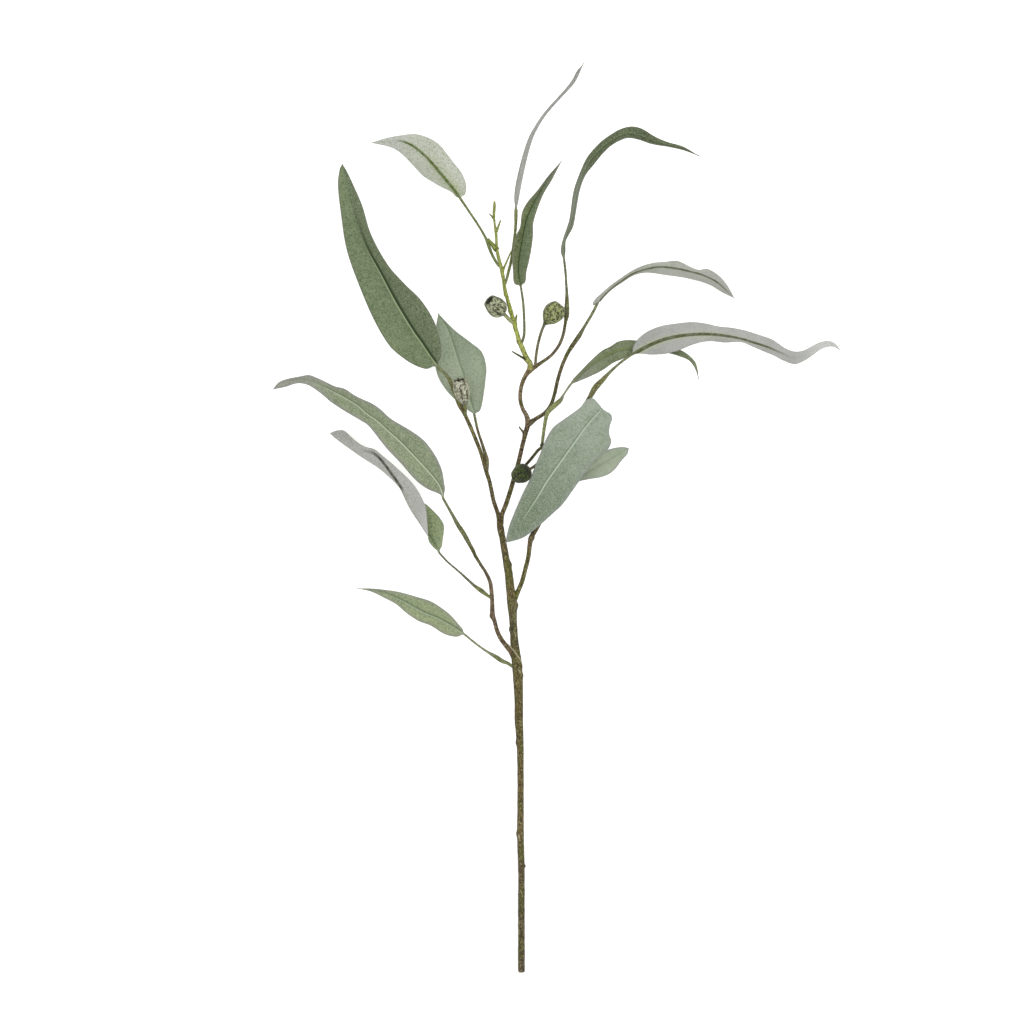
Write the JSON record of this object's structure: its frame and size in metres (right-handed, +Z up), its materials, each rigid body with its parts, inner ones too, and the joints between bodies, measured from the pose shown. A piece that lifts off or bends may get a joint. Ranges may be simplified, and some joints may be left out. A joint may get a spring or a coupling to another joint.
{
  "type": "eucalyptus branch",
  "caption": "Cut eucalyptus branch laid flat: a forked woody stem with long sickle leaves, a lime-green twig and woody gumnuts.",
  "frame": {"origin": "middle of the branch's length and width, on the surface that it lies on", "axes": "+Y along the branch from the cut end to the top leaf, +X towards the longest leaf, +Z up from the surface"},
  "size_m": [0.5016, 0.8017, 0.0478],
  "materials": {
    "bark": "matte",
    "lime_twig": "satin",
    "gumnut": "matte",
    "olive_leaf": "satin",
    "blue_green_leaf": "satin",
    "pale_leaf": "matte"
  },
  "bodies": {
    "root": {"stem": "bark", "flowering_twig": "lime_twig", "leaf_top": "pale_leaf", "leaf_arching": "olive_leaf", "leaf_top_centre": "olive_leaf", "leaf_top_left": "pale_leaf", "leaf_upper_left": "olive_leaf", "leaf_centre_left": "blue_green_leaf", "leaf_left_long": "blue_green_leaf", "leaf_left_twisted": "blue_green_leaf", "leaf_left_low": "blue_green_leaf", "leaf_front": "blue_green_leaf", "leaf_front_back": "blue_green_leaf", "leaf_right_upper": "pale_leaf", "leaf_right_large": "pale_leaf", "leaf_right_back": "olive_leaf", "gumnut_left": "gumnut", "gumnut_top": "gumnut", "gumnut_right": "gumnut", "gumnut_centre": "gumnut"}
  },
  "joints": []
}
